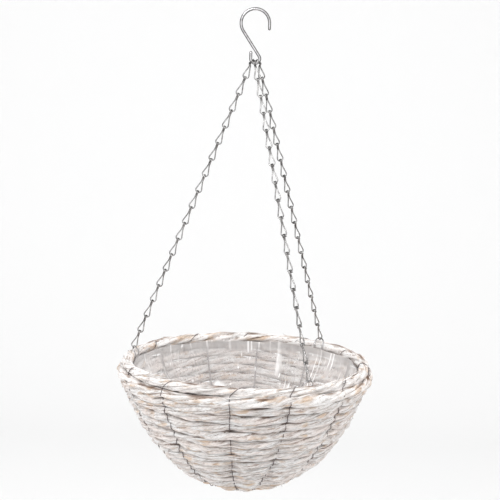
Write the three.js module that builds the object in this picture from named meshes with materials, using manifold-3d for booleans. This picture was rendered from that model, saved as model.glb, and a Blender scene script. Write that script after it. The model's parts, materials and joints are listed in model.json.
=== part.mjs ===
// Hanging basket: a bowl of wound rope laced to a welded wire frame, lined with clear film, hung on
// three chains of hairpin wire links from one wire hook. Millimetres, +Z up.
// The origin is the point inside the top of the hook where it bears on its bracket.
import * as THREE from 'three';
import { mergeVertices } from 'three/addons/utils/BufferGeometryUtils.js';
import Module from 'manifold-3d';

const wasm = await Module();
wasm.setup();

// Hook
const HOOK_WIRE = 4;
const HOOK_ARC_RADIUS = 18.8;     // radii of bent wires are to their centrelines
const HOOK_TAIL = 8.7;            // straight tail below the arc
const LOOP_RADIUS = 6;            // small closed loop that the chains hang on
const LOOP_CENTRE = new THREE.Vector2(1.2, -63);
const LOOP_LEG = 10;              // straight end that closes the small loop

// Chains
const LINKS = 18;
const LINK_WIRE = 1.6;
const LINK_LOOP_RADIUS = 3.9;     // round lower end of a link
const LINK_NECK = 7.4;            // from the eye's centre to where a link's two legs meet
const EYE_RADIUS = 2.35;          // eye that rides on the bar of the link above
const EYE_OPENING = 60;           // degrees of the eye left open beside the neck
const LINK_LEG_SHARE = 0.74;      // how far up the second leg reaches towards the neck
const TIGHT_EYE_DROP = 1.1;       // inside a pair the eye sits lower, bearing on that bar
const TOP_EYE_RADIUS = 3.6;       // eye round the hook's small loop
const TOP_EYE_SPREAD = 48;        // degrees round the small loop from one top eye to the next
const CHAINS = [
  { name: 'a', azimuth: 169, eye: -1 },
  { name: 'b', azimuth: 300, eye: 0 },
  { name: 'c', azimuth: 47, eye: 1 },
];

// Basket, with heights measured from the centre plane of the rim rope
const RIM_Z = -475;
const RIM_RADIUS = 162;           // centre of the rim rope
const RIM_ROPE = 5.8;             // half the rim rope's thickness
const ROPE = 6.2;                 // half the wall rope's thickness
const ROPE_RIDGE = 40;            // degrees to each side of a turn's crest that its facet reaches
const ROWS = 16;                  // turns of rope in the wall
const ROW_CURVE = [[168.2, -10.9], [146.5, -57], [123, -128], [52, -159.6]];
const WALL_PARTS = [
  { name: 'upper', first: 0, last: 5 },
  { name: 'middle', first: 6, last: 10 },
  { name: 'lower', first: 11, last: 15 },
];
const BASE_RADIUS = 48.6;
const BASE_BOTTOM = -166.2;
const BASE_THICKNESS = 12.4;
const BASE_EDGE = 3;              // rounding of the base coil's edge

// Welded frame, lacing and liner
const HOOP_WIRE = 3;
const HOOP = new THREE.Vector2(157.7, -9.2);
const RIB_WIRE = 2.4;
const BASE_HOOP_RADIUS = 40;
const LACING_AZIMUTHS = [20, 54, 84, 112, 142, 176, 204, 232, 264, 289, 319, 349];
const LACING_WIRE = 1;
const FILM = 1;
const LINER_TOP = new THREE.Vector2(153, -3);

// Rim clips, and the bar of the last link, which they hold
const CLIP_WIRE = 1.8;
const CLIP_HALF_WIDTH = 7.5;
const LAST_BAR = new THREE.Vector2(160.6, 10);

// Running gaps, and the facets of the round pieces
const GAP = 0.4;
const ROUND_GAP = 1;              // where two faceted rounds lie one inside the other
const ROUND_SEGMENTS = 36;
const RIM_SEGMENTS = 60;
const BENDS = 8;                  // places where a rib and the liner bend
const WALL_FACETS = 3;            // facets down the inside of each part of the wall
const CROWN_BENDS = 7;            // places where the arch of a rim clip bends
const LACING_BENDS = 8;           // places where a lacing wire bends on its way down the wall
const LACING_TOP = 0.09;          // share of the way down the wall where the first of them is

const ZINC = { color: 0xc4c6c8, roughness: 0.32, metalness: 0.9 };
const DARK_WIRE = { color: 0x4a4440, roughness: 0.6, metalness: 0.6 };
const WHITE_ROPE = { color: 0xded8d2, roughness: 0.95, metalness: 0 };
const CLEAR_FILM = { color: 0xd8dcdc, roughness: 0.2, metalness: 0 };

const radians = THREE.MathUtils.degToRad;
const range = (count) => Array.from({ length: count }, (_, i) => i);
const flat = (x, z) => new THREE.Vector3(x, 0, z);

// ---- solids and wires ----

function toSolid(geometry) {
  geometry.deleteAttribute('normal');
  geometry.deleteAttribute('uv');
  const merged = mergeVertices(geometry, 1e-4);
  return new wasm.Manifold(new wasm.Mesh({
    numProp: 3,
    vertProperties: merged.attributes.position.array,
    triVerts: Uint32Array.from(merged.index.array),
  }));
}

function join(geometries) {
  const whole = geometries.map(toSolid).reduce((sum, next) => sum.add(next));
  const data = whole.getMesh();
  const geometry = new THREE.BufferGeometry();
  geometry.setAttribute('position', new THREE.BufferAttribute(data.vertProperties, 3));
  geometry.setIndex(new THREE.BufferAttribute(data.triVerts, 1));
  geometry.computeVertexNormals();
  return geometry;
}

// A curve whose equal steps end at the listed points, so that a bend can have the shorter steps.
class PointPath extends THREE.Curve {
  constructor(points) {
    super();
    this.points = points;
  }

  getPoint(t) {
    const place = t * (this.points.length - 1);
    const i = Math.min(Math.floor(place), this.points.length - 2);
    return this.points[i].clone().lerp(this.points[i + 1], place - i);
  }

  getPointAt(u) {
    return this.getPoint(u);
  }

  getTangentAt(u) {
    return this.getTangent(u);
  }
}

function wire(points, diameter, sides) {
  const corners = range(sides).map((i) => {
    const angle = (2 * Math.PI * i) / sides;
    return new THREE.Vector2(Math.cos(angle), Math.sin(angle)).multiplyScalar(diameter / 2);
  });
  return new THREE.ExtrudeGeometry(new THREE.Shape(corners), {
    steps: points.length - 1,
    bevelEnabled: false,
    extrudePath: new PointPath(points),
  });
}

// Points along an arc in a vertical plane, from one angle to another, in degrees from the outward axis
function arc(centre, radius, from, to, steps) {
  return range(steps + 1).map((i) => {
    const angle = radians(from + ((to - from) * i) / steps);
    return flat(centre.x + radius * Math.cos(angle), centre.y + radius * Math.sin(angle));
  });
}

// A solid of revolution about Z, from its profile of [radius, height] points
function turned(profile, segments) {
  const points = profile.map(([radius, height]) => new THREE.Vector2(radius, height));
  return new THREE.LatheGeometry(points, segments).rotateX(Math.PI / 2);
}

function mesh(name, geometry, look) {
  const piece = new THREE.Mesh(geometry, new THREE.MeshStandardMaterial(look));
  piece.name = name;
  return piece;
}

function turnedBy(degrees, piece) {
  piece.rotation.z = radians(degrees);
  return piece;
}

// ---- hook ----

// The wire leaves the big arc on the straight line that is tangent to both of its circles.
function hook() {
  const arcCentre = new THREE.Vector2(0, HOOK_WIRE / 2 - HOOK_ARC_RADIUS);
  const between = LOOP_CENTRE.clone().sub(arcCentre);
  const opening = Math.acos((HOOK_ARC_RADIUS + LOOP_RADIUS) / between.length());
  const leaves = THREE.MathUtils.radToDeg(between.angle() - opening);
  const loop = arc(LOOP_CENTRE, LOOP_RADIUS, leaves - 180, -180, 12);
  const points = [
    flat(HOOK_ARC_RADIUS, arcCentre.y - HOOK_TAIL),
    ...arc(arcCentre, HOOK_ARC_RADIUS, 0, leaves, 18),
    ...loop,
    flat(loop.at(-1).x, LOOP_CENTRE.y + LOOP_LEG),
  ];
  return mesh('hook', wire(points, HOOK_WIRE, 8), ZINC);
}

// ---- chains ----

// The open ring at the top of a link, in the plane square to the wire that it hangs on
function eyePoints(radius, heldWire, drop) {
  const leaves = flat(0, -1).projectOnPlane(heldWire).normalize();
  const sideways = heldWire.clone().cross(leaves);
  const steps = 5;
  return range(steps + 1).map((i) => {
    const angle = radians(EYE_OPENING + ((360 - 1.5 * EYE_OPENING) * i) / steps);
    const point = leaves.clone().multiplyScalar(radius * Math.cos(angle));
    return point.addScaledVector(sideways, radius * Math.sin(angle)).add(flat(0, -drop));
  });
}

// One bent wire: the eye at the origin, a neck, and a teardrop loop in the XZ plane that stays open
// by the neck. The link hangs along -Z.
function link(pitch, eye) {
  const roundEnd = new THREE.Vector2(0, LINK_LOOP_RADIUS - pitch);
  const neck = flat(0, -LINK_NECK);
  const bend = arc(roundEnd, LINK_LOOP_RADIUS, 0, -180, 4);
  const tip = bend.at(-1).clone().lerp(neck, LINK_LEG_SHARE);
  return wire([...eye, flat(0, -EYE_RADIUS - LINK_WIRE), neck, ...bend, tip], LINK_WIRE, 4);
}

// The frame of one chain: its line from the small loop to its rim clip, its pitch and its roll
function chainFrame({ azimuth, eye }) {
  const hangs = radians(eye * TOP_EYE_SPREAD);
  const out = new THREE.Vector3(Math.cos(radians(azimuth)), Math.sin(radians(azimuth)), 0);
  const start = flat(Math.sin(hangs), -Math.cos(hangs)).multiplyScalar(LOOP_RADIUS);
  start.add(flat(LOOP_CENTRE.x, LOOP_CENTRE.y));
  const end = out.clone().multiplyScalar(LAST_BAR.x).setZ(RIM_Z + LAST_BAR.y);
  const up = start.clone().sub(end).normalize();
  const across = new THREE.Vector3(1, 0, 0).projectOnPlane(up).normalize();
  const depth = up.clone().cross(across);
  const lastWidth = out.projectOnPlane(up).normalize();
  const roll = Math.atan(lastWidth.dot(depth) / lastWidth.dot(across));
  return {
    start,
    turn: new THREE.Matrix4().makeBasis(across, depth, up),
    pitch: start.distanceTo(end) / LINKS,
    step: roll / (LINKS - 1),
    loopWire: flat(Math.cos(hangs), Math.sin(hangs)),
  };
}

// Two links joined where the lower one's eye bears on the upper one's bar
function linkPair({ pitch, step }, eye) {
  const tightEye = eyePoints(EYE_RADIUS, flat(1, 0), TIGHT_EYE_DROP);
  const lower = link(pitch, tightEye).rotateZ(step).translate(0, 0, -pitch);
  return join([link(pitch, eye), lower]);
}

function chain(description) {
  const frame = chainFrame(description);
  const group = new THREE.Group();
  const loopWire = frame.loopWire.transformDirection(frame.turn.clone().invert());
  const topPair = linkPair(frame, eyePoints(TOP_EYE_RADIUS, loopWire, 0));
  const nextPair = linkPair(frame, eyePoints(EYE_RADIUS, flat(1, 0), 0));
  range(LINKS / 2).forEach((i) => {
    const name = `chain_${description.name}_links_${2 * i + 1}_${2 * i + 2}`;
    const pair = mesh(name, i === 0 ? topPair : nextPair, ZINC);
    pair.position.z = -2 * i * frame.pitch;
    pair.rotation.z = 2 * i * frame.step;
    group.add(pair);
  });
  group.quaternion.setFromRotationMatrix(frame.turn);
  group.position.copy(frame.start);
  return group;
}

// ---- rim clips ----

// An arch over the rim rope's inner side; both feet hook under the frame's rim hoop.
function rimClip({ name, azimuth }) {
  const rim = new THREE.Vector2(RIM_RADIUS, 0);
  const reach = RIM_ROPE + GAP + CLIP_WIRE / 2;
  const legRadius = RIM_RADIUS - reach;
  const foot = [
    ...arc(HOOP, HOOP.x - legRadius, -70, -180, 5),
    ...arc(rim, reach, 180, 130, 3),
  ];
  const shoulder = foot.at(-1);
  const slope = Math.atan2(LAST_BAR.x, LOOP_CENTRE.y - RIM_Z - LAST_BAR.y);
  const lift = GAP + (CLIP_WIRE + LINK_WIRE) / 2;
  const apex = flat(LAST_BAR.x - lift * Math.sin(slope), LAST_BAR.y + lift * Math.cos(slope));
  const crown = range(CROWN_BENDS).map((i) => {
    const angle = (Math.PI * (i + 1)) / (CROWN_BENDS + 1);
    const point = shoulder.clone().lerp(apex, Math.sin(angle));
    return point.setY(CLIP_HALF_WIDTH * Math.cos(angle));
  });
  const points = [
    ...foot.map((point) => point.clone().setY(CLIP_HALF_WIDTH)),
    ...crown,
    ...foot.map((point) => point.clone().setY(-CLIP_HALF_WIDTH)).reverse(),
  ];
  return turnedBy(azimuth, mesh(`rim_clip_${name}`, wire(points, CLIP_WIRE, 5), ZINC));
}

// ---- basket ----

const rowCurve = new THREE.CubicBezierCurve(...ROW_CURVE.map(([r, z]) => new THREE.Vector2(r, z)));

// A point beside the curve of row centres: positive is outside the bowl
function besideRows(u, offset) {
  const tangent = rowCurve.getTangentAt(u);
  const outward = new THREE.Vector2(-tangent.y, tangent.x);
  return rowCurve.getPointAt(u).addScaledVector(outward, offset);
}

// One long rope wound from the base to the rim, in three parts: each is a ribbed ring, with a ridge
// for each turn. A part ends halfway between two turns, or at the middle of the first or last turn.
function wallPart({ name, first, last }) {
  const turn = 1 / (ROWS - 1);
  const clearance = GAP / 2 / rowCurve.getLength();
  const top = first === 0 ? 0 : (first - 0.5) * turn + clearance;
  const bottom = last === ROWS - 1 ? 1 : (last + 0.5) * turn - clearance;
  const valley = ROPE * Math.cos(radians(ROPE_RIDGE));
  const ridges = range(last - first + 1).flatMap((i) => {
    const u = (first + i) * turn;
    const centre = rowCurve.getPointAt(u);
    const outward = THREE.MathUtils.radToDeg(besideRows(u, 1).sub(centre).angle());
    const facet = arc(centre, ROPE, outward + ROPE_RIDGE, outward - ROPE_RIDGE, 1);
    return facet.map(({ x, z }) => [x, z]);
  });
  const outside = [
    ...(first === 0 ? [] : [besideRows(top, valley).toArray()]),
    ...ridges,
    ...(last === ROWS - 1 ? [] : [besideRows(bottom, valley).toArray()]),
  ];
  const inside = range(WALL_FACETS + 1).map((i) => {
    const u = bottom + ((top - bottom) * i) / WALL_FACETS;
    return besideRows(u, -ROPE).toArray();
  });
  const profile = [...outside, ...inside, outside[0]].reverse();
  return mesh(`wall_rope_${name}`, turned(profile, ROUND_SEGMENTS), WHITE_ROPE);
}

function rimRope() {
  return mesh('rim_rope', new THREE.TorusGeometry(RIM_RADIUS, RIM_ROPE, 6, RIM_SEGMENTS), WHITE_ROPE);
}

// The rope's first turns, coiled flat
function baseRope() {
  const top = BASE_BOTTOM + BASE_THICKNESS;
  const profile = [
    [0, BASE_BOTTOM],
    [BASE_RADIUS - BASE_EDGE, BASE_BOTTOM],
    [BASE_RADIUS, BASE_BOTTOM + BASE_EDGE],
    [BASE_RADIUS, top - BASE_EDGE],
    [BASE_RADIUS - BASE_EDGE, top],
    [0, top],
  ];
  return mesh('base_rope', turned(profile, ROUND_SEGMENTS), WHITE_ROPE);
}

const ribOffset = -(ROPE + ROUND_GAP + RIB_WIRE / 2);

// The ribs and the liner bend at the same places, so the gap between them is even.
const besideBends = (offset) => range(BENDS).map((i) => besideRows((i + 1) / BENDS, offset));

function rib(azimuth) {
  const along = besideBends(ribOffset);
  const foot = new THREE.Vector2(BASE_HOOP_RADIUS, along.at(-1).y);
  const points = [HOOP, ...along, foot].map(({ x, y }) => flat(x, y));
  return wire(points, RIB_WIRE, 4).rotateZ(radians(azimuth));
}

// Rim hoop, base hoop and the ribs between them, welded into one cage inside the rope
function wireFrame() {
  const hoop = new THREE.TorusGeometry(HOOP.x, HOOP_WIRE / 2, 4, RIM_SEGMENTS).translate(0, 0, HOOP.y);
  const baseHeight = besideRows(1, ribOffset).y;
  const baseHoop = new THREE.TorusGeometry(BASE_HOOP_RADIUS, RIB_WIRE / 2, 4, ROUND_SEGMENTS);
  baseHoop.translate(0, 0, baseHeight);
  return mesh('wire_frame', join([hoop, baseHoop, ...LACING_AZIMUTHS.map(rib)]), DARK_WIRE);
}

// Clear film laid inside the frame, open at the top
function liner() {
  const offset = ribOffset - RIB_WIRE / 2 - GAP;
  const side = (inset) => besideBends(offset - inset).map(({ x, y }) => [
    Math.min(x, LINER_TOP.x - inset),
    y,
  ]);
  const outer = [LINER_TOP.toArray(), ...side(0)];
  const inner = [[LINER_TOP.x - FILM, LINER_TOP.y], ...side(FILM)];
  const bottom = [[0, outer.at(-1)[1]], [0, inner.at(-1)[1]]];
  const profile = [bottom[0], ...outer.reverse(), ...inner, bottom[1]];
  return mesh('liner', turned(profile, ROUND_SEGMENTS), CLEAR_FILM);
}

// A wire from the rim hoop over the rim rope and down the outside of the wall
function lacingWire(azimuth, number) {
  const rim = new THREE.Vector2(RIM_RADIUS, 0);
  const clear = GAP + LACING_WIRE / 2;
  const overRim = arc(rim, RIM_ROPE + clear, 190, 10, 7);
  const overFirstRow = arc(rowCurve.getPointAt(0), ROPE + clear, 30, -25, 2);
  const down = range(LACING_BENDS).map((i) => besideRows(LACING_TOP + i / LACING_BENDS, ROPE + clear));
  const points = [...overRim, ...overFirstRow, ...down.map(({ x, y }) => flat(x, y))];
  const name = `lacing_wire_${String(number + 1).padStart(2, '0')}`;
  return turnedBy(azimuth, mesh(name, wire(points, LACING_WIRE, 3), DARK_WIRE));
}

function basket() {
  const group = new THREE.Group();
  group.add(...WALL_PARTS.map(wallPart), rimRope(), baseRope(), wireFrame(), liner());
  group.add(...LACING_AZIMUTHS.map(lacingWire));
  group.add(...CHAINS.map(rimClip));
  group.position.z = RIM_Z;
  return group;
}

const hangingBasket = new THREE.Group();
hangingBasket.add(hook(), ...CHAINS.map(chain), basket());
export default hangingBasket;
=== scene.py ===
"""Looks of the hanging basket: bent wire links, hook and clips, wound rope, lacing and a film liner."""
import json
import math

import bpy
import numpy as np
from mathutils import Matrix, Vector


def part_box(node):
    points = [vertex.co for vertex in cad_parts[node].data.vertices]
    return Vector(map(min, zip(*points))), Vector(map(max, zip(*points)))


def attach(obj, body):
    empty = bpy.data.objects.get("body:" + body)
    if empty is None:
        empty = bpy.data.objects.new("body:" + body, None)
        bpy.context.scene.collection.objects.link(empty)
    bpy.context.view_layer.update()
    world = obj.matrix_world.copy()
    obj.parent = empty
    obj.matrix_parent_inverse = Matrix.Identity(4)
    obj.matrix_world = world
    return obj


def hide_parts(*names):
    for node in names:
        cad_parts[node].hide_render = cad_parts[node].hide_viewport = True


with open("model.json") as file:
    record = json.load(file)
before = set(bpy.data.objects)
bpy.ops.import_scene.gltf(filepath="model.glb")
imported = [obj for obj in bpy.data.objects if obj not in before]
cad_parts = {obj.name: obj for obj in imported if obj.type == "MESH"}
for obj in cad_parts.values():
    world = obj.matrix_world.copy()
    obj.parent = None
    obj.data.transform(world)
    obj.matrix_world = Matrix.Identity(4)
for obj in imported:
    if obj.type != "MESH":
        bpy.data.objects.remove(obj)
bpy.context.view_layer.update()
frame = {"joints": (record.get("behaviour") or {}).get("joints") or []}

MM = 0.001
SEED = 7

# Wires, in metres
HOOK_WIRE = 4.0 * MM
LINK_WIRE = 1.6 * MM
CLIP_WIRE = 1.8 * MM
LACING_WIRE = 1.0 * MM
HOOP_WIRE = 3.0 * MM
RIB_WIRE = 2.4 * MM
WIRE_SIDES = 14

# Hook, as in the CAD model: an arc, a straight shank and a small closed loop
HOOK_ARC_RADIUS = 18.8 * MM
HOOK_TAIL = 8.7 * MM
LOOP_RADIUS = 6.0 * MM
LOOP_CENTRE = np.array([1.2, -63.0]) * MM
LOOP_LEG = 10.0 * MM

# Links
LINKS = 18
LINK_LOOP_RADIUS = 3.9 * MM
LINK_NECK = 7.4 * MM
EYE_RADIUS = 2.35 * MM
TOP_EYE_RADIUS = 3.6 * MM
TOP_EYE_SPREAD = math.radians(48)
EYE_EASE = 1.03                  # an eye's points are this much further out, because easing draws them in
CHAIN_EYES = {"a": -1, "b": 0, "c": 1}
CHAIN_AZIMUTHS = {"a": math.radians(169), "b": math.radians(300), "c": math.radians(47)}

# Basket: heights below are from the rim rope's centre plane
rim_low, rim_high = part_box("rim_rope")
RIM_Z = (rim_low.z + rim_high.z) / 2
RIM_RADIUS = 162.0 * MM
RIM_ROPE = 5.8 * MM
ROPE = 6.2 * MM
ROWS = 16
ROW_CURVE = np.array([[168.2, -10.9], [146.5, -57.0], [123.0, -128.0], [52.0, -159.6]]) * MM
BASE_CENTRE = -160.0 * MM
HOOP = np.array([157.7, -9.2]) * MM
BASE_HOOP_RADIUS = 40.0 * MM
LACING_AZIMUTHS = np.radians([20, 54, 84, 112, 142, 176, 204, 232, 264, 289, 319, 349])
LINER_TOP = np.array([153.0, -3.0]) * MM
CLIP_HALF_WIDTH = 7.5 * MM
CLIP_APEX = np.array([159.9, 11.85]) * MM

# Rope make-up
STRANDS = 5
TWIST_PITCH = 170.0 * MM
STRAND_REACH = 0.56              # how far a strand's centre is from the rope's, as a share of its radius
STRAND_SIZE = 0.47
ROPE_SWELL = 1.08                # soft rope fills the gaps between its turns
CLIMB = math.radians(46)         # stretch in which the rope climbs from one turn to the next
CLIMB_AZIMUTH = math.radians(98)
PINCH = 1.5 * MM
PINCH_WIDTH = 9.0 * MM
CREASE = 0.15                    # width of the painted shade line between two strands, as a share of the radius
WALL_SLIVERS = 1300
RIM_SLIVERS = 210
STRAY_ENDS = 90
COIL_PITCH = 11.6 * MM           # from one turn of the base coil to the next
COIL_TURNS = 3.55                # full-thickness turns
COIL_TAIL_TURNS = 0.6            # thinner tail beyond them

# Camera and lights
CAMERA_PLACE = (0.0016, -1.54, -0.1036)
CAMERA_DOWN = 7.96               # degrees
CAMERA_ROLL = 1.66               # degrees
CAMERA_LENS = 82.6
KEY_POWER, SIDE_POWER, TOP_POWER = 26, 22, 9
SKY_STRENGTH = 0.95
FLOOR_DROP = 1.2                 # metres from the rim down to the floor
FLOOR_HALF_WIDTH = 9.0


# ---- noise and small mathematics ----

def smooth_noise(seed, count):
    """A repeatable table of random values from -1 to 1."""
    return np.random.default_rng(seed).uniform(-1, 1, count)


def noise_1d(x, seed):
    """Smooth noise along x, about one swing per unit."""
    table = smooth_noise(seed, 4096)
    whole = np.floor(x).astype(int)
    part = x - whole
    part = part * part * (3 - 2 * part)
    return table[whole % 4096] * (1 - part) + table[(whole + 1) % 4096] * part


def noise_2d(x, y, seed):
    """Smooth noise over x and y, about one swing per unit each way."""
    table = smooth_noise(seed, 512 * 512).reshape(512, 512)
    ix, iy = np.floor(x).astype(int), np.floor(y).astype(int)
    fx, fy = x - ix, y - iy
    fx, fy = fx * fx * (3 - 2 * fx), fy * fy * (3 - 2 * fy)
    ix, iy, jx, jy = ix % 512, iy % 512, (ix + 1) % 512, (iy + 1) % 512
    low = table[ix, iy] * (1 - fx) + table[jx, iy] * fx
    high = table[ix, jy] * (1 - fx) + table[jx, jy] * fx
    return low * (1 - fy) + high * fy


def unit(v):
    return v / np.maximum(np.linalg.norm(v, axis=-1, keepdims=True), 1e-12)


# ---- the curve of row centres ----

def bezier(t):
    t = np.asarray(t, float)[..., None]
    a, b, c, d = ROW_CURVE
    return (1 - t) ** 3 * a + 3 * (1 - t) ** 2 * t * b + 3 * (1 - t) * t * t * c + t ** 3 * d


CURVE_POINTS = bezier(np.linspace(0, 1, 801))
CURVE_LENGTHS = np.concatenate([[0], np.cumsum(np.linalg.norm(np.diff(CURVE_POINTS, axis=0), axis=1))])
CURVE_LENGTHS /= CURVE_LENGTHS[-1]
CURVE_TANGENTS = unit(np.gradient(CURVE_POINTS, axis=0))


def on_curve(u):
    """Point and outward normal of the row curve at a share u of its length from the rim."""
    u = np.clip(u, 0, 1)
    point = np.stack([np.interp(u, CURVE_LENGTHS, CURVE_POINTS[:, k]) for k in (0, 1)], -1)
    tangent = unit(np.stack([np.interp(u, CURVE_LENGTHS, CURVE_TANGENTS[:, k]) for k in (0, 1)], -1))
    return point, np.stack([-tangent[..., 1], tangent[..., 0]], -1)


def beside_rows(u, offset):
    point, outward = on_curve(u)
    return point + outward * np.asarray(offset)[..., None]


def around(radius_height, azimuth):
    """Points in space from [radius, height] pairs and azimuths; height is from the rim plane."""
    radius, height = radius_height[..., 0], radius_height[..., 1]
    return np.stack([radius * np.cos(azimuth), radius * np.sin(azimuth), height + RIM_Z], -1)


# ---- meshes ----

def store(mesh, key, values):
    """Keeps a number or a vector for each point of a mesh, for its material to read."""
    kind, field = ("FLOAT_VECTOR", "vector") if values.ndim == 2 else ("FLOAT", "value")
    data = mesh.attributes.new(key, kind, "POINT").data
    data.foreach_set(field, values.astype(np.float32).ravel())


def make_object(name, vertices, faces, material, attributes=None):
    mesh = bpy.data.meshes.new(name)
    mesh.from_pydata([tuple(v) for v in vertices], [], [tuple(f) for f in faces])
    mesh.polygons.foreach_set("use_smooth", np.ones(len(mesh.polygons), bool))
    for key, values in (attributes or {}).items():
        store(mesh, key, values)
    mesh.materials.append(material)
    piece = bpy.data.objects.new(name, mesh)
    bpy.context.scene.collection.objects.link(piece)
    return piece


def sweep_faces(rings, sides, closed, start=0):
    """Quads between rings of points, with end caps unless the sweep is closed."""
    ring = np.arange(rings if closed else rings - 1)
    side = np.arange(sides)
    r, s = np.meshgrid(ring, side, indexing="ij")
    r2, s2 = (r + 1) % rings, (s + 1) % sides
    quads = np.stack([r * sides + s, r * sides + s2, r2 * sides + s2, r2 * sides + s], -1)
    faces = (quads.reshape(-1, 4) + start).tolist()
    if not closed:
        faces.append((side[::-1] + start).tolist())
        faces.append((side + (rings - 1) * sides + start).tolist())
    return faces


def transported(points, closed=False):
    """Tangents and two square directions along a line, turned as little as possible."""
    points = np.asarray(points, float)
    if closed:
        tangents = unit(np.roll(points, -1, axis=0) - np.roll(points, 1, axis=0))
    else:
        tangents = unit(np.gradient(points, axis=0))
    first = np.array([0.31, 0.17, 0.93])
    normal = unit(first - tangents[0] * (first @ tangents[0]))
    normals = [normal]
    for tangent in tangents[1:]:
        normal = unit(normal - tangent * (normal @ tangent))
        normals.append(normal)
    normals = np.array(normals)
    return tangents, normals, np.cross(tangents, normals)


def tube_parts(points, radius, sides, closed=False):
    points = np.asarray(points, float)
    _, normals, sideways = transported(points, closed)
    angle = np.arange(sides) * 2 * math.pi / sides
    radius = np.broadcast_to(radius, len(points))[:, None, None]
    circle = (np.cos(angle)[None, :, None] * normals[:, None]
              + np.sin(angle)[None, :, None] * sideways[:, None])
    return (points[:, None] + radius * circle).reshape(-1, 3)


def tubes(name, lines, radius, material, sides=WIRE_SIDES, closed=False):
    """One object made of a round wire along each line."""
    vertices, faces = [], []
    for line in lines:
        start = sum(len(v) for v in vertices)
        vertices.append(tube_parts(line, radius, sides, closed))
        faces += sweep_faces(len(line), sides, closed, start)
    return make_object(name, np.concatenate(vertices), faces, material)


def arc(centre, radius, start, end, steps):
    """Points [x, z] on an arc, angles in radians from the x axis."""
    angle = np.linspace(start, end, steps + 1)
    return np.stack([centre[0] + radius * np.cos(angle), centre[1] + radius * np.sin(angle)], -1)


def resampled(points, step):
    """The same line with points at even steps."""
    points = np.asarray(points, float)
    lengths = np.concatenate([[0], np.cumsum(np.linalg.norm(np.diff(points, axis=0), axis=1))])
    count = max(3, int(lengths[-1] / step))
    at = np.linspace(0, lengths[-1], count)
    return np.stack([np.interp(at, lengths, points[:, k]) for k in range(points.shape[1])], -1)


def eased(points, rounds=3):
    """Rounds a line's corners and keeps its ends."""
    points = np.array(points, float)
    for _ in range(rounds):
        points[1:-1] = (points[:-2] + 2 * points[1:-1] + points[2:]) / 4
    return points


# ---- materials ----

def new_material(name):
    material = bpy.data.materials.new(name)
    material.use_nodes = True
    return material, material.node_tree, material.node_tree.nodes["Principled BSDF"]


def add_node(tree, kind, **settings):
    node = tree.nodes.new(kind)
    for key, value in settings.items():
        if key.startswith("in_"):
            node.inputs[int(key[3:])].default_value = value
        else:
            setattr(node, key, value)
    return node


def ramp(tree, source, stops):
    node = add_node(tree, "ShaderNodeValToRGB")
    elements = node.color_ramp.elements
    while len(elements) < len(stops):
        elements.new(0.5)
    for element, (place, color) in zip(elements, stops):
        element.position = place
        element.color = (*color, 1) if len(color) == 3 else color
    tree.links.new(source, node.inputs[0])
    return node.outputs[0]


def grey(value):
    return (value, value, value)


def mix(tree, factor, a, b, blend="MIX"):
    node = add_node(tree, "ShaderNodeMix", data_type="RGBA", blend_type=blend)
    for socket, value in ((node.inputs[0], factor), (node.inputs[6], a), (node.inputs[7], b)):
        if isinstance(value, bpy.types.NodeSocket):
            tree.links.new(value, socket)
        else:
            socket.default_value = value if isinstance(value, (int, float)) else (*value, 1)
    return node.outputs[2]


def noise(tree, vector, scale, detail=4.0, roughness=0.55, stretch=(1, 1, 1)):
    mapping = add_node(tree, "ShaderNodeMapping")
    mapping.inputs["Scale"].default_value = stretch
    texture = add_node(tree, "ShaderNodeTexNoise")
    texture.inputs["Scale"].default_value = scale
    texture.inputs["Detail"].default_value = detail
    texture.inputs["Roughness"].default_value = roughness
    tree.links.new(vector, mapping.inputs[0])
    tree.links.new(mapping.outputs[0], texture.inputs["Vector"])
    return texture.outputs["Fac"]


def bumped(tree, shader, height, strength, distance):
    bump = add_node(tree, "ShaderNodeBump")
    bump.inputs["Strength"].default_value = strength
    bump.inputs["Distance"].default_value = distance
    tree.links.new(height, bump.inputs["Height"])
    tree.links.new(bump.outputs[0], shader.inputs["Normal"])


def zinc_steel(name, dull, bright):
    """Bright drawn wire: fine lengthwise drag, with dull and bright stretches."""
    material, tree, shader = new_material(name)
    place = add_node(tree, "ShaderNodeTexCoord").outputs["Object"]
    cloud = noise(tree, place, 170, 4)
    shader.inputs["Metallic"].default_value = 1.0
    tree.links.new(ramp(tree, cloud, [(0.36, dull), (0.62, bright)]), shader.inputs["Base Color"])
    tree.links.new(ramp(tree, cloud, [(0.3, grey(0.26)), (0.75, grey(0.1))]), shader.inputs["Roughness"])
    bumped(tree, shader, noise(tree, place, 1800, 3), 0.15, 0.00006)
    return material


def dark_wire(name, dark, light):
    """Dull annealed wire with a brown bloom."""
    material, tree, shader = new_material(name)
    place = add_node(tree, "ShaderNodeTexCoord").outputs["Object"]
    cloud = noise(tree, place, 180, 4)
    shader.inputs["Metallic"].default_value = 0.3
    shader.inputs["Roughness"].default_value = 0.55
    tree.links.new(ramp(tree, cloud, [(0.3, dark), (0.7, light)]), shader.inputs["Base Color"])
    bumped(tree, shader, noise(tree, place, 1500, 3), 0.3, 0.0001)
    return material


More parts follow.
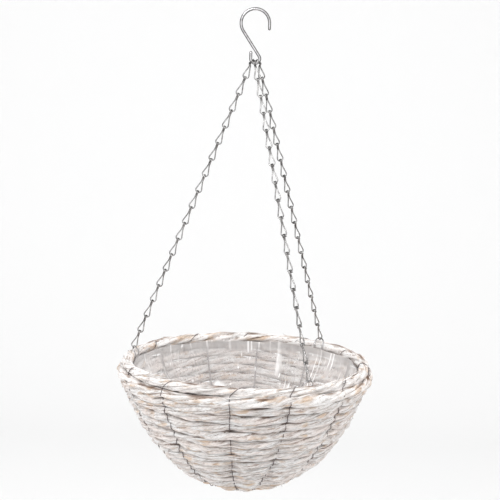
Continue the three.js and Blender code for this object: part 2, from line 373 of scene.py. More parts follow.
def husk_rope():
    """Twisted straw with a worn white wash: streaks along the strands, tan where the wash is thin, painted
    shade in the creases and painted light where the 'pale' share is high.
    """
    material, tree, shader = new_material("husk_rope")
    lay = add_node(tree, "ShaderNodeAttribute", attribute_name="lay").outputs["Vector"]
    crest = add_node(tree, "ShaderNodeAttribute", attribute_name="crest").outputs["Fac"]
    pale = add_node(tree, "ShaderNodeAttribute", attribute_name="pale").outputs["Fac"]
    bare_share = add_node(tree, "ShaderNodeAttribute", attribute_name="bare").outputs["Fac"]
    streaks = noise(tree, lay, 1.0, 5, 0.65, (34, 3.2, 1))
    fine = noise(tree, lay, 1.0, 4, 0.65, (90, 14, 1))
    tints = noise(tree, lay, 1.0, 2, 0.5, (5, 0.9, 3))
    patches = noise(tree, lay, 1.0, 3, 0.5, (3.0, 1.7, 7))
    shades = noise(tree, lay, 1.0, 3, 0.6, (12, 4.5, 5))
    warm = ramp(tree, streaks,
                [(0.25, (0.5, 0.425, 0.385)), (0.5, (0.74, 0.675, 0.645)), (0.75, (0.88, 0.845, 0.82))])
    cool = ramp(tree, streaks,
                [(0.25, (0.5, 0.47, 0.455)), (0.5, (0.75, 0.74, 0.735)), (0.75, (0.9, 0.895, 0.89))])
    wash = mix(tree, ramp(tree, tints, [(0.4, grey(0.0)), (0.58, grey(1.0))]), warm, cool)
    tan = ramp(tree, streaks, [(0.3, (0.4, 0.255, 0.145)), (0.7, (0.72, 0.52, 0.35))])
    more = add_node(tree, "ShaderNodeMath", operation="MULTIPLY_ADD", in_1=0.12)
    tree.links.new(bare_share, more.inputs[0])
    tree.links.new(patches, more.inputs[2])
    bare = ramp(tree, more.outputs[0], [(0.575, grey(0.0)), (0.67, grey(0.8))])
    bare = mix(tree, 1.0, bare, ramp(tree, streaks, [(0.36, grey(0.25)), (0.56, grey(1.0))]), "MULTIPLY")
    # painted light: the 'pale' share mixes the colour towards near-white, mostly on the top turns of the wall
    # and on the rim rope
    colour = mix(tree, pale, wash, (0.95, 0.93, 0.915))
    colour = mix(tree, bare, colour, tan)
    dusk = ramp(tree, shades, [(0.3, (0.55, 0.48, 0.44)), (0.47, grey(1.0))])
    colour = mix(tree, 0.9, colour, dusk, "MULTIPLY")
    # painted shade: dark brown where the 'crest' share is low, in the creases between strands, between turns
    # and along sliver edges
    crease = ramp(tree, crest, [(0.0, (0.16, 0.115, 0.095)), (0.3, (0.46, 0.39, 0.35)), (0.62, grey(1.0))])
    colour = mix(tree, 1.0, colour, crease, "MULTIPLY")
    colour = mix(tree, 0.45, colour, ramp(tree, fine, [(0.34, grey(0.4)), (0.56, grey(1.0))]), "MULTIPLY")
    tree.links.new(colour, shader.inputs["Base Color"])
    shader.inputs["Roughness"].default_value = 0.92
    shader.inputs["Specular IOR Level"].default_value = 0.25
    bumped(tree, shader, mix(tree, 0.5, streaks, fine), 1.0, 0.0016)
    return material


def clear_film():
    """Thin crumpled film: mostly seen through, whiter where it is seen edge on, with sharp painted glints."""
    material, tree, shader = new_material("clear_film")
    place = add_node(tree, "ShaderNodeTexCoord").outputs["Object"]
    crumple = noise(tree, place, 30, 6, 0.62, (1, 1, 0.45))
    haze = noise(tree, place, 60, 3)
    facing = add_node(tree, "ShaderNodeLayerWeight")
    facing.inputs["Blend"].default_value = 0.35
    shader.inputs["Specular IOR Level"].default_value = 0.4
    tree.links.new(ramp(tree, haze, [(0.3, grey(0.16)), (0.7, grey(0.3))]), shader.inputs["Roughness"])
    seen = ramp(tree, facing.outputs["Facing"], [(0.0, grey(0.24)), (0.8, grey(0.42))])
    painted_highlight = add_node(tree, "ShaderNodeAttribute", attribute_name="painted_highlight").outputs["Fac"]
    # painted highlight: where the share is high the film turns nearly opaque and pure white, drawing glints
    # and a bright top band
    tree.links.new(mix(tree, painted_highlight, seen, grey(0.92)), shader.inputs["Alpha"])
    tree.links.new(mix(tree, painted_highlight, (0.93, 0.9, 0.89), (1.0, 1.0, 1.0)), shader.inputs["Base Color"])
    bumped(tree, shader, crumple, 0.5, 0.006)
    return material


HOOK_STEEL = zinc_steel("hook_steel", (0.62, 0.61, 0.62), (0.86, 0.85, 0.86))
CHAIN_ZINC = zinc_steel("chain_zinc", (0.32, 0.31, 0.305), (0.78, 0.77, 0.765))
LACING = dark_wire("lacing_wire", (0.045, 0.033, 0.035), (0.19, 0.15, 0.145))
FRAME_WIRE = dark_wire("frame_wire", (0.2, 0.18, 0.175), (0.38, 0.355, 0.35))
ROPE_FIBRE = husk_rope()
FILM = clear_film()


def settle(piece, body, slot, *nodes):
    """A finished piece: its body and the CAD nodes that it stands for; its finish, the slot, is not used."""
    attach(piece, body)
    if nodes:
        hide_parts(*nodes)
    return piece


# ---- hook ----

def hook():
    arc_centre = np.array([0, HOOK_WIRE / 2 - HOOK_ARC_RADIUS])
    between = LOOP_CENTRE - arc_centre
    opening = math.acos((HOOK_ARC_RADIUS + LOOP_RADIUS) / np.linalg.norm(between))
    leaves = math.atan2(between[1], between[0]) + 2 * math.pi - opening
    loop = arc(LOOP_CENTRE, LOOP_RADIUS, leaves - math.pi, -math.pi, 40)
    flat = np.concatenate([
        [[HOOK_ARC_RADIUS, arc_centre[1] - HOOK_TAIL]],
        arc(arc_centre, HOOK_ARC_RADIUS, 0, leaves, 60),
        loop,
        [[loop[-1, 0], LOOP_CENTRE[1] + LOOP_LEG]],
    ])
    line = resampled(np.stack([flat[:, 0], np.zeros(len(flat)), flat[:, 1]], -1), 0.8 * MM)
    radius = np.full(len(line), HOOK_WIRE / 2)
    end = np.minimum(np.arange(len(line)), np.arange(len(line))[::-1]) * 0.8 * MM
    radius *= np.sqrt(np.clip(end / (HOOK_WIRE / 3), 0.16, 1))
    vertices = tube_parts(line, radius, 20)
    piece = make_object("hook_wire", vertices, sweep_faces(len(line), 20, False), HOOK_STEEL)
    return settle(piece, "hook", "zinc_steel", "hook")


# ---- chains ----

def eye_ring(radius, held, side):
    """The hooked-over end of one leg, round the wire it hangs on, offset to its side."""
    leaves = np.array([0, 0, -1.0])
    leaves = unit(leaves - held * (leaves @ held))
    sideways = np.cross(held, leaves)
    angle = np.linspace(math.radians(-20), math.radians(-292), 24)[:, None]
    ring = EYE_EASE * radius * (np.cos(angle) * leaves + np.sin(angle) * sideways)
    return ring + held * side


def link_line(pitch, eye_radius, held):
    """One bent wire: both ends hook over the wire above, run down a neck and part into a teardrop."""
    side = 0.52 * LINK_WIRE
    round_end = np.array([0, LINK_LOOP_RADIUS - pitch])
    bend = arc(round_end, LINK_LOOP_RADIUS, math.radians(14), -math.pi - math.radians(14), 22)
    bend = np.stack([bend[:, 0], np.zeros(len(bend)), bend[:, 1]], -1)
    right = eye_ring(eye_radius, held, side)[::-1]
    left = eye_ring(eye_radius, held, -side)
    neck_right = np.array([[side, 0, -LINK_NECK + 1.2 * MM], [side * 1.3, 0, -LINK_NECK - 1.2 * MM]])
    neck_left = (neck_right * [-1, 1, 1])[::-1]
    line = np.concatenate([right, neck_right, bend, neck_left, left])
    return eased(resampled(line, 0.42 * MM), 3)


def chain_frame(name):
    """Start, axes, pitch and roll step of a chain, from its joints."""
    pivots = {j["name"]: j for j in frame["joints"]}
    first, last = pivots[f"chain_{name}_twist_2"], pivots[f"chain_{name}_twist_8"]
    up = unit(np.array(first["axis"], float))
    top, low = np.array(first["pos_m"], float), np.array(last["pos_m"], float)
    pitch = np.linalg.norm(top - low) / 12
    start = top + up * 3 * pitch
    across = unit(np.array([1.0, 0, 0]) - up * up[0])
    depth = np.cross(up, across)
    azimuth = CHAIN_AZIMUTHS[name]
    out = np.array([math.cos(azimuth), math.sin(azimuth), 0])
    roll = math.atan((out @ depth) / (out @ across))
    return start, np.stack([across, depth, up]), pitch, roll / (LINKS - 1)


def chain(name):
    start, axes, pitch, step = chain_frame(name)
    hangs = CHAIN_EYES[name] * TOP_EYE_SPREAD
    loop_wire = axes @ np.array([math.cos(hangs), 0, math.sin(hangs)])
    plain = link_line(pitch, EYE_RADIUS, np.array([1.0, 0, 0]))
    for i in range(LINKS):
        line = link_line(pitch, TOP_EYE_RADIUS, loop_wire) if i == 0 else plain
        roll = i * step
        turn = np.array([[math.cos(roll), -math.sin(roll), 0],
                         [math.sin(roll), math.cos(roll), 0],
                         [0, 0, 1]])
        local = line @ turn.T if i else line
        world = (local - [0, 0, i * pitch]) @ axes + start
        piece = tubes(f"chain_{name}_link_{i + 1:02d}", [world], LINK_WIRE / 2, CHAIN_ZINC, 10)
        pair = i // 2 + 1
        body = "basket" if pair in (1, LINKS // 2) else f"chain_{name}_pair_{pair}"
        settle(piece, body, "zinc_steel", f"chain_{name}_links_{2 * pair - 1}_{2 * pair}")


# ---- rim clips ----

def rim_clip(name):
    reach = RIM_ROPE + 0.4 * MM + CLIP_WIRE / 2
    leg = RIM_RADIUS - reach
    foot = np.concatenate([
        arc(HOOP, HOOP[0] - leg, math.radians(-60), -math.pi, 14),
        arc((RIM_RADIUS, 0), reach, math.pi, math.radians(130), 10),
    ])
    shoulder = foot[-1]
    angle = np.linspace(0, math.pi, 26)[1:-1]
    crown = shoulder + (CLIP_APEX - shoulder) * np.sin(angle)[:, None]
    half = CLIP_HALF_WIDTH
    flat = np.concatenate([foot, crown, foot[::-1]])
    aside = np.concatenate([np.full(len(foot), half), half * np.cos(angle), np.full(len(foot), -half)])
    line = eased(resampled(np.column_stack([flat, aside]), 0.7 * MM), 2)
    azimuth = CHAIN_AZIMUTHS[name]
    out = np.array([math.cos(azimuth), math.sin(azimuth), 0])
    tangent = np.array([-math.sin(azimuth), math.cos(azimuth), 0])
    world = line[:, :1] * out + line[:, 2:] * tangent + (line[:, 1:2] + RIM_Z) * np.array([0, 0, 1.0])
    piece = tubes(f"rim_clip_{name}_wire", [world], CLIP_WIRE / 2, HOOK_STEEL, 12)
    settle(piece, "basket", "zinc_steel", f"rim_clip_{name}")


# ---- rope ----

def pinch(azimuth, radius):
    """1 under a lacing wire, falling to 0 between wires."""
    away = (azimuth[..., None] - LACING_AZIMUTHS + math.pi) % (2 * math.pi) - math.pi
    near = np.abs(away).min(-1) * radius
    return np.exp(-((near / PINCH_WIDTH) ** 2))


def strand_shape(phi, twist, along, seed):
    """Outline of the strands as a share of the rope's radius, and how open each point is: 0 in a crease,
    which the colour darkens as painted shade.
    """
    radii = []
    for k in range(STRANDS):
        drift = (0.4 * noise_1d(along / 0.05, seed + 10 * k + 5)
                 + 0.13 * noise_1d(along / 0.011, seed + 10 * k + 8))
        size = STRAND_SIZE * (1 + 0.16 * noise_1d(along / 0.028, seed + 10 * k + 6))
        reach = STRAND_REACH * (1 + 0.25 * noise_1d(along / 0.045, seed + 10 * k + 7))
        away = phi[None] - (twist + drift + 2 * math.pi * k / STRANDS)[:, None]
        inside = size[:, None] ** 2 - (reach[:, None] * np.sin(away)) ** 2
        radii.append(reach[:, None] * np.cos(away) + np.sqrt(np.maximum(inside, 0)))
    ordered = np.sort(np.stack(radii), axis=0)
    return ordered[-1], np.clip((ordered[-1] - ordered[-2]) / CREASE, 0, 1)


def rope_angles(sides):
    """Angles round a rope, closer together on its outer side."""
    even = np.arange(sides) * 2 * math.pi / sides
    return even - 0.3 * np.sin(even)


def rope_mesh(name, centre, outward, upward, along, thickness, seed,
              pale=0.0, bare=0.0, closed=False, sides=32):
    """Fibrous strands twisted together along a line, with what the colour needs stored on the mesh: painted
    shade in the creases and between turns, and the shares of painted light and of bare straw.
    """
    phi = rope_angles(sides)
    fade = np.sin(np.linspace(0, math.pi, len(along))) ** 0.4 if closed else np.ones(len(along))
    twist = 2 * math.pi * along / TWIST_PITCH + 0.6 * fade * noise_1d(along / 0.09, seed + 1)
    own = phi[None] - twist[:, None]
    reach = along[:, None] + 0 * own
    share, crest = strand_shape(phi, twist, along, seed)
    bundles = noise_2d(own * 9 / math.pi % 18, reach / 0.03, seed + 2)
    fibres = noise_2d(own * 18 / math.pi % 36, reach / 0.012, seed + 3)
    wrinkles = noise_2d(own * 6 / math.pi % 12, reach / 0.0075, seed + 8)
    closed_up = np.clip(0.22 + 1.2 * noise_2d(own * 5 / math.pi % 10, reach / 0.016, seed + 9), 0, 1)
    swell = 1 + 0.1 * fade * noise_1d(along / 0.03, seed + 4)
    relief = (0.42 * bundles + 0.26 * fibres + 0.3 * wrinkles) * MM
    radius = thickness[:, None] * share * swell[:, None] + relief
    direction = np.cos(phi)[None, :, None] * outward[:, None] + np.sin(phi)[None, :, None] * upward[:, None]
    vertices = centre[:, None] + radius[..., None] * direction
    # painted shade: the colour darkens where a turn meets the turns above and below it, in the creases and
    # over sunk bundles; stored as 'crest'
    parted = np.clip(0.6 + 0.8 * noise_1d(along / 0.022, seed + 11), 0.1, 1)[:, None]
    painted_gap_shade = 1 - 0.9 * np.abs(np.sin(phi))[None] ** 10 * parted
    painted_crease_shade = np.clip((crest + (1 - crest) * 0.75 * closed_up) * (0.8 + 0.3 * bundles) * painted_gap_shade, 0, 1)
    lay = np.stack([own / (2 * math.pi), reach / 0.05, seed + 0 * own], -1)
    painted_light_and_bare = {key: (np.broadcast_to(value, len(along))[:, None] + 0 * own).ravel()
             for key, value in (("pale", pale), ("bare", bare))}
    piece = make_object(name, vertices.reshape(-1, 3), sweep_faces(len(along), sides, closed), ROPE_FIBRE,
                        {"lay": lay.reshape(-1, 3), "crest": painted_crease_shade.ravel(), **painted_light_and_bare})
    return piece, (phi, radius)


def slivers(name, centre, outward, upward, along, surface, count, seed, pale):
    """Long flat slips of straw that lie on the rope, pointed at both ends, lifting a little at their tips."""
    random = np.random.default_rng(seed)
    phi, radius = surface
    steps, sides = 11, 6
    t = np.linspace(0, 1, steps)[None]
    length = random.uniform(0.018, 0.055, (count, 1))
    begin = random.uniform(0, along[-1] - 0.075, (count, 1))
    angle = random.uniform(-2.0, 2.0, (count, 1))
    slope = random.normal(0.55, 0.35, (count, 1))
    angle = angle + slope * (t - 0.5) * length / 0.03
    ring = np.clip(np.searchsorted(along, begin + t * length), 0, len(along) - 1)
    nearest = np.searchsorted(phi, (angle - phi[0]) % (2 * math.pi) + phi[0]) % len(phi)
    height = radius[ring, nearest]
    for _ in range(3):
        height[:, 1:-1] = (height[:, :-2] + height[:, 1:-1] + height[:, 2:]) / 3
    tips = random.gamma(1.2, 0.45, (count, 1)) * MM
    height = height + 0.05 * MM + tips * np.abs(2 * t - 1) ** 3 * (t > random.uniform(0, 1, (count, 1)))
    slim = np.sin(math.pi * (0.03 + 0.94 * t)) ** 0.75
    half_width = random.uniform(0.5, 1.7, (count, 1)) * slim * MM
    half_thick = random.uniform(0.28, 0.5, (count, 1)) * slim ** 0.5 * MM
    turn = np.arange(sides) * 2 * math.pi / sides
    lean = np.cos(angle)[..., None] * outward[ring] + np.sin(angle)[..., None] * upward[ring]
    beside = -np.sin(angle)[..., None] * outward[ring] + np.cos(angle)[..., None] * upward[ring]
    points = (centre[ring] + height[..., None] * lean)[:, :, None]
    points = points + half_width[..., None, None] * np.cos(turn)[:, None] * beside[:, :, None]
    points = points + half_thick[..., None, None] * np.sin(turn)[:, None] * lean[:, :, None]
    one = np.array(sweep_faces(steps, sides, False)[:-2])
    faces = (one[None] + (np.arange(count) * steps * sides)[:, None, None]).reshape(-1, 4).tolist()
    shape = (count, steps, sides)
    # painted shade: the colour darkens along each sliver's side edges and towards its tips, as a contact
    # shadow; stored as 'crest'
    edge = (0.35 + 0.65 * np.abs(np.sin(turn))) * (0.45 + 0.55 * slim[..., None])
    lay = np.stack([
        np.broadcast_to(random.uniform(0, 40, (count, 1, 1)) + 0.04 * np.cos(turn), shape),
        np.broadcast_to((random.uniform(0, 90, (count, 1)) + t * length / 0.05)[..., None], shape),
        np.full(shape, float(seed)),
    ], -1)
    # painted light: each sliver takes the 'pale' share of the rope under it
    painted_light_share = np.broadcast_to(pale[ring][..., None], shape)
    piece = make_object(name, points.reshape(-1, 3), faces, ROPE_FIBRE,
                        {"lay": lay.reshape(-1, 3), "crest": np.broadcast_to(edge, shape).ravel(),
                         "pale": painted_light_share.ravel(), "bare": 0 * painted_light_share.ravel()})
    settle(piece, "basket", "rope")


def stray_ends(centre, outward, upward):
    """A few short straw ends that stick out of the rope, mostly low on the bowl."""
    random = np.random.default_rng(SEED + 500)
    lines = []
    for _ in range(STRAY_ENDS):
        ring = int(len(centre) * random.uniform(0, 1) ** 2.2)
        forward = unit(centre[min(ring + 3, len(centre) - 1)] - centre[ring])
        angle = random.uniform(-1.2, 0.9)
        lean = math.cos(angle) * outward[ring] + math.sin(angle) * upward[ring]
        start = centre[ring] + lean * ROPE * 0.9
        reach = random.uniform(2.5, 6.0) * MM
        t = np.linspace(0, 1, 6)[:, None]
        aim = unit(lean + forward * random.uniform(-1.6, 1.6) - upward[ring] * 0.4)
        lines.append(start + aim * t * reach + forward * (t * t) * random.normal(0, 1.5) * MM)
    piece = tubes("stray_ends", lines, 0.32 * MM, ROPE_FIBRE, 5)
    count = len(piece.data.vertices)
    values = {"lay": np.repeat(random.uniform(0, 50, (STRAY_ENDS, 3)), count // STRAY_ENDS, axis=0),
              "crest": np.full(count, 0.8), "pale": np.full(count, 0.1), "bare": np.zeros(count)}
    for key, value in values.items():
        store(piece.data, key, value)
    settle(piece, "basket", "rope")


def wall_path(step):
    """Line of the wound rope from the base to the rim: level turns joined by short climbs."""
    turns = np.linspace(0, ROWS, 16001)
    row = np.minimum(np.floor(turns), ROWS - 1)
    part = turns - row
    climb = np.clip((part - (1 - CLIMB / (2 * math.pi))) / (CLIMB / (2 * math.pi)), 0, 1)
    climb = climb * climb * (3 - 2 * climb)
    level = np.where(row < ROWS - 1, row + climb, row)
    share = 1 - level / (ROWS - 1)
    azimuth = CLIMB_AZIMUTH + turns * 2 * math.pi
    point, _ = on_curve(share)
    lengths = np.concatenate([[0], np.cumsum(np.hypot(
        np.diff(point[:, 0]), (point[:-1, 0] + point[1:, 0]) / 2 * np.diff(azimuth)))])
    along = np.arange(0, lengths[-1], step)
    share = np.interp(along, lengths, share)
    azimuth = np.interp(along, lengths, azimuth)
    return share, azimuth, along


def bowl_axes(share, azimuth):
    _, normal = on_curve(share)
    radial = np.stack([np.cos(azimuth), np.sin(azimuth), 0 * azimuth], -1)
    vertical = np.array([0, 0, 1.0])
    outward = normal[:, :1] * radial + normal[:, 1:] * vertical
    upward = -normal[:, 1:] * radial + normal[:, :1] * vertical
    return outward, upward


def wall_rope():
    share, azimuth, along = wall_path(2.1 * MM)
    outward, upward = bowl_axes(share, azimuth)
    centre = around(on_curve(share)[0], azimuth)
    squeeze = pinch(azimuth, on_curve(share)[0][:, 0])
    bulge = 0.8 * MM * noise_1d(along / 0.06, SEED + 30) + 0.7 * MM * (1 - squeeze) - PINCH * squeeze
    low = np.clip((share - 0.84) / 0.1, 0, 1)
    bulge -= low * (np.maximum(bulge, 0) + 0.9 * MM)
    sag = 1.2 * MM * noise_1d(along / 0.05, SEED + 31)
    centre = centre + outward * bulge[:, None] + upward * sag[:, None]
    end = np.clip(np.minimum(along, along[-1] - along) / 0.012, 0.25, 1)
    thickness = ROPE * ROPE_SWELL * (1 - 0.1 * squeeze) * np.sqrt(end)
    # painted light: the top turns are mixed towards near-white, as though lit from above
    pale = 0.4 * np.clip(1 - share * (ROWS - 1) / 1.6, 0, 1)
    bare = 1.6 * np.clip((share - 0.85) / 0.1, 0, 1) + 0.45 * np.clip(1 - share * (ROWS - 1) / 1.4, 0, 1)
    piece, surface = rope_mesh("wall_rope_wound", centre, outward, upward, along, thickness, SEED, pale, bare)
    settle(piece, "basket", "rope", "wall_rope_upper", "wall_rope_middle", "wall_rope_lower")
    slivers("wall_slivers", centre, outward, upward, along, surface, WALL_SLIVERS, SEED + 400, pale)
    stray_ends(centre, outward, upward)


def rim_rope():
    count = 500
    azimuth = np.arange(count) * 2 * math.pi / count
    around_rim = 2 * math.pi * RIM_RADIUS
    along = azimuth / (2 * math.pi) * TWIST_PITCH * round(around_rim / TWIST_PITCH)
    squeeze = pinch(azimuth, RIM_RADIUS)
    radial = np.stack([np.cos(azimuth), np.sin(azimuth), 0 * azimuth], -1)
    upward = np.zeros_like(radial) + [0, 0, 1.0]
    wave = 0.9 * MM * noise_1d(azimuth / (2 * math.pi) * 18, SEED + 40) * np.sin(azimuth / 2)
    centre = radial * (RIM_RADIUS - 0.5 * MM * squeeze)[:, None] + upward * (RIM_Z + wave)[:, None]
    thickness = RIM_ROPE * 1.15 * (1 - 0.08 * squeeze)
    bare = 0.9 * np.exp(-(((azimuth - math.radians(118)) / 0.5) ** 2))
    # painted light: the rim rope is mixed 0.42 of the way towards near-white, its slivers 0.45
    piece, surface = rope_mesh("rim_rope_twisted", centre, radial, upward, along, thickness, SEED + 50,
                               0.42, bare, True)
    settle(piece, "basket", "rope", "rim_rope")
    slivers("rim_slivers", centre, radial, upward, along, surface, RIM_SLIVERS, SEED + 420,
            np.full(count, 0.45))


def base_rope():
    """The flat coil under the bowl, wound out from its centre. A thinner tail fills most, not all, of the gap
    to the wall."""
    turns = np.linspace(0.35, COIL_TURNS + COIL_TAIL_TURNS, 1650)
    azimuth = CLIMB_AZIMUTH + turns * 2 * math.pi
    tail = np.clip(turns - COIL_TURNS, 0, None)
    radius = COIL_PITCH * np.minimum(turns, COIL_TURNS) + (0.4 + 3.4 * tail) * MM
    lengths = np.concatenate([[0], np.cumsum(radius[:-1] * np.diff(azimuth))])
    along = np.arange(0, lengths[-1], 1.9 * MM)
    azimuth = np.interp(along, lengths, azimuth)
    radius = np.interp(along, lengths, radius)
    tail = np.interp(along, lengths, tail)
    radial = np.stack([np.cos(azimuth), np.sin(azimuth), 0 * azimuth], -1)
    upward = np.zeros_like(radial) + [0, 0, 1.0]
    centre = radial * radius[:, None] + upward * (RIM_Z + BASE_CENTRE)
    thickness = (5.1 - 1.3 * np.clip(tail / 0.12, 0, 1)) * MM
    piece, _ = rope_mesh("base_rope_coil", centre, radial, upward, along, thickness, SEED + 60, bare=1.3)
    settle(piece, "basket", "rope", "base_rope")


# ---- frame, lacing, liner ----

def wire_frame():
    offset = -(ROPE + 1.0 * MM + RIB_WIRE / 2)
    turn = np.linspace(0, 2 * math.pi, 181)[:-1]
    hoop = around(np.tile(HOOP, (180, 1)), turn)
    foot = beside_rows(np.array([1.0]), offset)[0]
    base = around(np.tile([BASE_HOOP_RADIUS, foot[1]], (180, 1)), turn)
    side = beside_rows(np.linspace(0.1, 1, 40), np.full(40, offset))
    rib = np.concatenate([[HOOP], side, [[BASE_HOOP_RADIUS, foot[1]]]])
    rib = eased(resampled(rib, 3 * MM), 3)
    hoops = tubes("frame_hoop", [hoop], HOOP_WIRE / 2, FRAME_WIRE, 12, True)
    settle(hoops, "basket", "dark_wire", "wire_frame")
    low = tubes("frame_base_hoop", [base], RIB_WIRE / 2, FRAME_WIRE, 12, True)
    settle(low, "basket", "dark_wire", "wire_frame")
    ribs = tubes("frame_ribs", [around(rib, a) for a in LACING_AZIMUTHS], RIB_WIRE / 2, FRAME_WIRE, 10)
    settle(ribs, "basket", "dark_wire", "wire_frame")


def lacing_wire(number, azimuth):
    """Thin wire from the hoop, slantwise over the rim rope and down the wall, sunk between its turns."""
    random = np.random.default_rng(SEED + 100 + number)
    over = arc((RIM_RADIUS, 0), RIM_ROPE + 0.75 * MM, math.radians(200), math.radians(-25), 24)
    slant = np.linspace(random.uniform(15, 30), 0, 25) * MM
    share = np.linspace(0.0, 0.985, 200)
    rows = share * (ROWS - 1)
    crest = 0.5 + 0.5 * np.cos(2 * math.pi * rows)
    sunk = np.interp(rows, np.arange(ROWS), random.uniform(-1.4, 0.25, ROWS)) * MM
    height = ROPE * (0.5 + 0.56 * crest) - PINCH + 0.85 * MM + sunk
    down = beside_rows(share, height)
    jog = np.cumsum(random.normal(0, 1, ROWS + 2)) * 1.1 * MM
    step = np.floor(rows + 0.5) + np.clip(((rows + 0.5) % 1) / 0.35, 0, 1)
    sideways = np.interp(step, np.arange(ROWS + 2), jog)
    flat = np.concatenate([over, down])
    aside = np.concatenate([slant + sideways[0], sideways])
    line = eased(resampled(np.column_stack([flat, aside]), 1.1 * MM), 3)
    turn = azimuth + line[:, 2] / np.maximum(line[:, 0], 20 * MM)
    world = around(line[:, :2], turn)
    piece = tubes(f"lacing_{number + 1:02d}", [world], LACING_WIRE / 2, LACING, 8)
    settle(piece, "basket", "dark_wire", f"lacing_wire_{number + 1:02d}")


def rim_tie():
    """The lacing wire that runs along the groove under the rim rope, mostly sunk between the ropes."""
    count = 720
    turn = np.arange(count) * 2 * math.pi / count
    wander = noise_1d(turn / (2 * math.pi) * 14, SEED + 200) * np.sin(turn / 2) ** 0.3
    side = np.abs(np.cos(turn)) ** 3
    depth = 163.2 * MM + (1.0 * side + 3.0 * wander) * MM
    flat = np.stack([depth, -5.6 * MM + 1.2 * MM * side], -1)
    piece = tubes("rim_tie_wire", [around(flat, turn)], 0.5 * MM, LACING, 8, True)
    settle(piece, "basket", "dark_wire")


def liner():
    """Film gathered into the bowl: pleats are deep at the rim and die out towards the base."""
    around_count, down_count = 840, 40
    turn = np.arange(around_count) * 2 * math.pi / around_count
    share = np.linspace(0.06, 1, down_count)
    offset = -(ROPE + 1.0 * MM + RIB_WIRE + 1.0 * MM)
    side = beside_rows(share, np.full(down_count, offset))
    side[:, 0] = np.minimum(side[:, 0], LINER_TOP[0] - 0.4 * MM)
    bottom = np.stack([side[-1, 0] * np.linspace(0.9, 0.02, 12), np.full(12, side[-1, 1])], -1)
    profile = np.concatenate([[LINER_TOP, LINER_TOP - [0.2 * MM, 5 * MM]], side, bottom])
    profile = resampled(profile, 2.1 * MM)
    depth = np.linspace(0, 1, len(profile))
    grid_turn, grid_depth = np.meshgrid(turn, depth)
    pleats = noise_2d(grid_turn / (2 * math.pi) * 64 % 64, grid_depth * 3.5, SEED + 300)
    creases = noise_2d(grid_turn / (2 * math.pi) * 150 % 150, grid_depth * 14 + 3, SEED + 301)
    fold = np.abs(pleats) ** 0.8 * 4.2 * MM * (1 - 0.75 * grid_depth) + np.abs(creases) * 1.3 * MM
    fold *= np.clip(grid_depth * 12, 0.15, 1)
    radius = profile[:, :1] - fold * np.clip(profile[:, :1] / (30 * MM), 0, 1)
    height = profile[:, 1:] + 0 * fold + fold * 0.35 * grid_depth
    edge = (1 - np.clip(grid_depth * 30, 0, 1)) * 2.0 * MM
    height = height + edge * noise_1d(grid_turn / (2 * math.pi) * 40, SEED + 302)
    points = around(np.stack([radius, height], -1), grid_turn).reshape(-1, 3)
    faces = sweep_faces(len(profile), around_count, False)[:-2]
    lean = grid_turn + 0.09 * noise_2d(grid_turn / (2 * math.pi) * 9 % 9, grid_depth * 2.5, SEED + 303)
    # painted highlight: white glint lines along the folds, small glint flecks and a brighter band at the top
    # edge
    folded = noise_2d(lean / (2 * math.pi) * 110 % 110, grid_depth * 1.6, SEED + 304)
    held = noise_2d(grid_turn / (2 * math.pi) * 40 % 40, grid_depth * 6, SEED + 305)
    painted_highlight = np.clip(1.4 - np.abs(folded) / 0.13, 0, 1) * np.clip(held * 3.0 - 0.35, 0, 1)
    glint_flecks = noise_2d(grid_turn / (2 * math.pi) * 210 % 210, grid_depth * 46, SEED + 306)
    painted_light_band = 0.22 * np.clip(1.5 - grid_depth / 0.06, 0, 1) * (0.6 + 0.4 * held)
    painted_highlight = np.maximum(np.maximum(painted_highlight, np.clip(glint_flecks * 4 - 3.0, 0, 1)), painted_light_band)
    # the painted glints are laid out by angle, so they fade before they crowd together at the bottom of the
    # bowl
    painted_highlight = painted_highlight * np.clip((profile[:, :1] - 50 * MM) / (40 * MM), 0, 1)
    piece = make_object("film_liner", points, faces, FILM, {"painted_highlight": painted_highlight.ravel()})
    settle(piece, "basket", "clear_film", "liner")


# ---- camera, light, floor ----

def camera():
    data = bpy.data.cameras.new("camera")
    data.sensor_width = 36
    data.lens = CAMERA_LENS
    data.clip_end = 50
    eye = bpy.data.objects.new("camera", data)
    bpy.context.scene.collection.objects.link(eye)
    eye.location = CAMERA_PLACE
    eye.rotation_mode = "XYZ"
    pitch, roll = math.radians(90 - CAMERA_DOWN), math.radians(CAMERA_ROLL)
    eye.rotation_euler = (Matrix.Rotation(pitch, 3, "X") @ Matrix.Rotation(roll, 3, "Z")).to_euler()
    bpy.context.scene.camera = eye


def area_light(name, place, size, power, target, glint=True):
    data = bpy.data.lights.new(name, "AREA")
    data.size = size
    data.energy = power
    lamp = bpy.data.objects.new(name, data)
    bpy.context.scene.collection.objects.link(lamp)
    lamp.location = place
    lamp.rotation_euler = (Vector(target) - Vector(place)).to_track_quat("-Z", "Y").to_euler()
    lamp.visible_glossy = glint


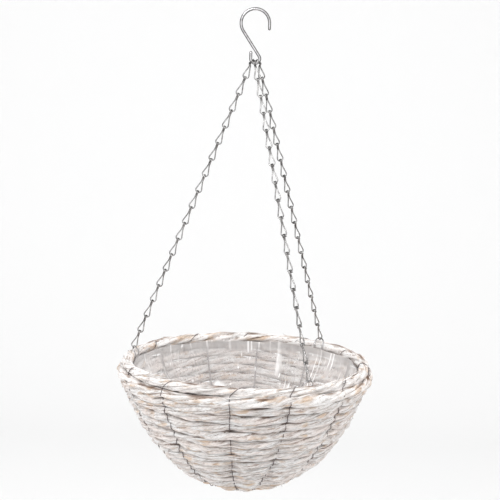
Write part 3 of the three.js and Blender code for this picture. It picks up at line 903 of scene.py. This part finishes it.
def studio():
    middle = (0, 0, RIM_Z)
    area_light("key", (-0.9, -1.9, 1.5), 1.6, KEY_POWER, middle)
    area_light("left", (-2.2, -0.7, 0.1), 1.5, SIDE_POWER, middle, False)
    area_light("right", (2.2, -0.7, 0.1), 1.5, SIDE_POWER, middle, False)
    area_light("top", (0.1, 0.1, 0.9), 0.8, TOP_POWER, middle, False)
    world = bpy.data.worlds.new("studio")
    world.use_nodes = True
    tree = world.node_tree
    background = tree.nodes["Background"]
    parts = add_node(tree, "ShaderNodeSeparateXYZ")
    tree.links.new(add_node(tree, "ShaderNodeTexCoord").outputs["Generated"], parts.inputs[0])
    depth = add_node(tree, "ShaderNodeMath", operation="MULTIPLY_ADD", in_1=0.5, in_2=0.5)
    tree.links.new(parts.outputs[1], depth.inputs[0])
    # a ring of dark flags round the object, seen only in the bright wire, gives it its dark edges
    flags = ramp(tree, depth.outputs[0],
                 [(0.15, grey(1.0)), (0.28, grey(0.0)), (0.72, grey(0.0)), (0.86, grey(0.5))])
    glossy = add_node(tree, "ShaderNodeLightPath").outputs["Is Glossy Ray"]
    tree.links.new(mix(tree, glossy, grey(1.0), flags), background.inputs[0])
    background.inputs[1].default_value = SKY_STRENGTH
    bpy.context.scene.world = world
    bpy.context.scene.view_settings.view_transform = "Standard"


def floor():
    """A pale floor that curves up behind the object."""
    far, low, bend = 5.0, RIM_Z - FLOOR_DROP, 1.5
    sweep = [(-6.0, low), (far - bend, low)]
    sweep += [(far - bend + bend * math.sin(a), low + bend - bend * math.cos(a))
              for a in np.linspace(0.1, math.pi / 2, 16)]
    sweep.append((far, 8.0))
    vertices = [(x, y, z) for y, z in sweep for x in (-FLOOR_HALF_WIDTH, FLOOR_HALF_WIDTH)]
    faces = [(2 * i, 2 * i + 1, 2 * i + 3, 2 * i + 2) for i in range(len(sweep) - 1)]
    material, _, shader = new_material("pale_floor")
    shader.inputs["Base Color"].default_value = (0.93, 0.93, 0.93, 1)
    shader.inputs["Roughness"].default_value = 0.8
    piece = make_object("floor", vertices, faces, material)
    piece.visible_glossy = False


camera()
studio()
floor()
hook()
for chain_name in CHAIN_EYES:
    chain(chain_name)
    rim_clip(chain_name)
wall_rope()
rim_rope()
base_rope()
wire_frame()
for number, azimuth in enumerate(LACING_AZIMUTHS):
    lacing_wire(number, azimuth)
rim_tie()
liner()
